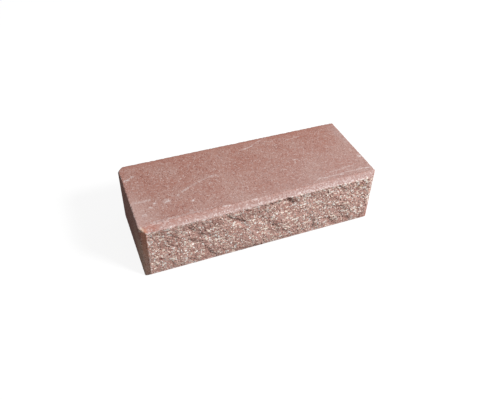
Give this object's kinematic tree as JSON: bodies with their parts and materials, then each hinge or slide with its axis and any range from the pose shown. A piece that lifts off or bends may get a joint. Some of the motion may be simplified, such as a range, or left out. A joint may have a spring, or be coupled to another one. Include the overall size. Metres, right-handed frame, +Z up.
{
  "type": "split face brick",
  "caption": "Narrow pressed concrete facing brick, a flat block with one rough split stretcher face inside a chamfered border.",
  "frame": {"origin": "under the middle of the brick's overall box, on the plane of its lower bed", "axes": "+X along the brick, +Y from the split face to the back face, +Z up from the lower bed to the upper bed"},
  "size_m": [0.25, 0.102, 0.065],
  "materials": {
    "pressed_concrete": "matt red brown pigmented concrete, smooth where it was pressed, with bared aggregate on the split face"
  },
  "bodies": {
    "root": {"split_face_brick": "pressed_concrete"}
  },
  "joints": []
}
